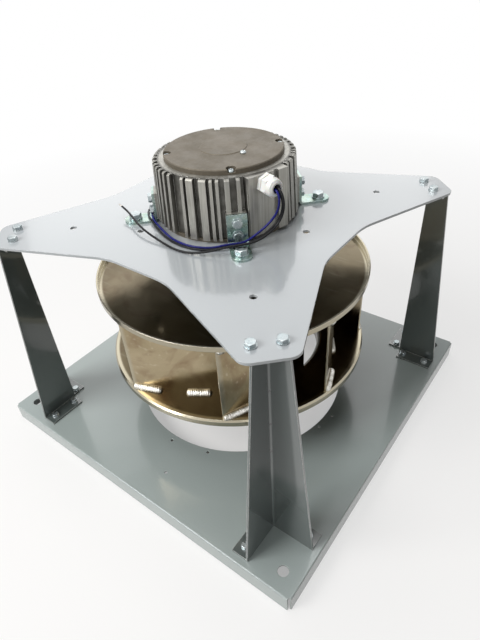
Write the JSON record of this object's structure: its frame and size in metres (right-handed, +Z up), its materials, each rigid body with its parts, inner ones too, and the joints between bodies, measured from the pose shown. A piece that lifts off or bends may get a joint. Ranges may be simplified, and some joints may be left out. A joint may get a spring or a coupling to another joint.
{
  "type": "plug fan",
  "caption": "Free-running centrifugal fan: finned motor on a star plate and legs above a square inlet plate, with a shrouded backward-curved impeller that spins on the motor shaft.",
  "frame": {"origin": "centre of the inlet plate's underside, on the motor axis", "axes": "+Z up along the motor axis, away from the inlet; X and Y along the inlet plate's sides"},
  "size_m": [0.5, 0.5, 0.3909],
  "materials": {
    "grey_paint": "semi-gloss grey sheet-steel paint",
    "zinc": "bright zinc plating",
    "strap_zinc": "bluish zinc plating",
    "housing_cast": "die-cast aluminium, machined fin faces",
    "cover_cast": "dark sand-cast aluminium",
    "impeller_sheet": "bronze-tinted galvanised sheet",
    "weld": "bare weld bead",
    "steel": "ground steel",
    "hub_steel": "turned cast iron",
    "lamination": "stamped sheet stack",
    "copper": "varnished copper winding",
    "bearing_steel": "polished",
    "seal_rubber": "matte",
    "white_plastic": "satin white nylon",
    "blue_insulation": "glossy dark blue",
    "black_insulation": "glossy black"
  },
  "bodies": {
    "frame_and_motor": {"arm_tip_bolts": "zinc", "arm_tip_nuts": "zinc", "arm_tip_washers": "zinc", "base_plate": "grey_paint", "cover_screws": "zinc", "end_shield_screws": "zinc", "foot_bolts": "zinc", "foot_nuts": "zinc", "foot_washers": "zinc", "gland_body": "white_plastic", "gland_nut": "white_plastic", "gland_seal": "seal_rubber", "leg_back": "grey_paint", "leg_front": "grey_paint", "leg_left": "grey_paint", "leg_right": "grey_paint", "lower_bearing_outer_ring": "bearing_steel", "lower_end_shield": "cover_cast", "motor_cover": "cover_cast", "motor_housing": "housing_cast", "motor_strap_back": "strap_zinc", "motor_strap_front": "strap_zinc", "motor_strap_left": "strap_zinc", "motor_strap_right": "strap_zinc", "preload_spring": "steel", "shaft_seal": "seal_rubber", "star_plate": "grey_paint", "stator_core": "lamination", "stator_windings": "copper", "strap_motor_bolts": "zinc", "strap_motor_washers": "zinc", "strap_plate_bolts": "zinc", "strap_plate_nuts": "zinc", "strap_plate_washers": "zinc", "upper_bearing_outer_ring": "bearing_steel", "wire_black_long": "black_insulation", "wire_black_short": "black_insulation", "wire_blue": "blue_insulation"},
    "impeller_and_rotor": {"blade_1": "impeller_sheet", "blade_2": "impeller_sheet", "blade_3": "impeller_sheet", "blade_4": "impeller_sheet", "blade_5": "impeller_sheet", "blade_6": "impeller_sheet", "blade_7": "impeller_sheet", "blade_8": "impeller_sheet", "hub_rivets": "steel", "impeller_backplate": "impeller_sheet", "impeller_hub": "hub_steel", "impeller_shroud": "impeller_sheet", "impeller_welds": "weld", "lower_bearing_balls": "bearing_steel", "lower_bearing_inner_ring": "bearing_steel", "rotor_core": "lamination", "shaft": "steel", "shaft_end_bolt": "zinc", "shaft_end_washer": "steel", "shaft_key": "steel", "upper_bearing_balls": "bearing_steel", "upper_bearing_inner_ring": "bearing_steel"}
  },
  "joints": [
    {"name": "impeller_spin", "type": "hinge", "parent": "frame_and_motor", "child": "impeller_and_rotor", "pos_m": [0, 0, 0.2], "axis": [0, 0, 1], "continuous": true}
  ]
}
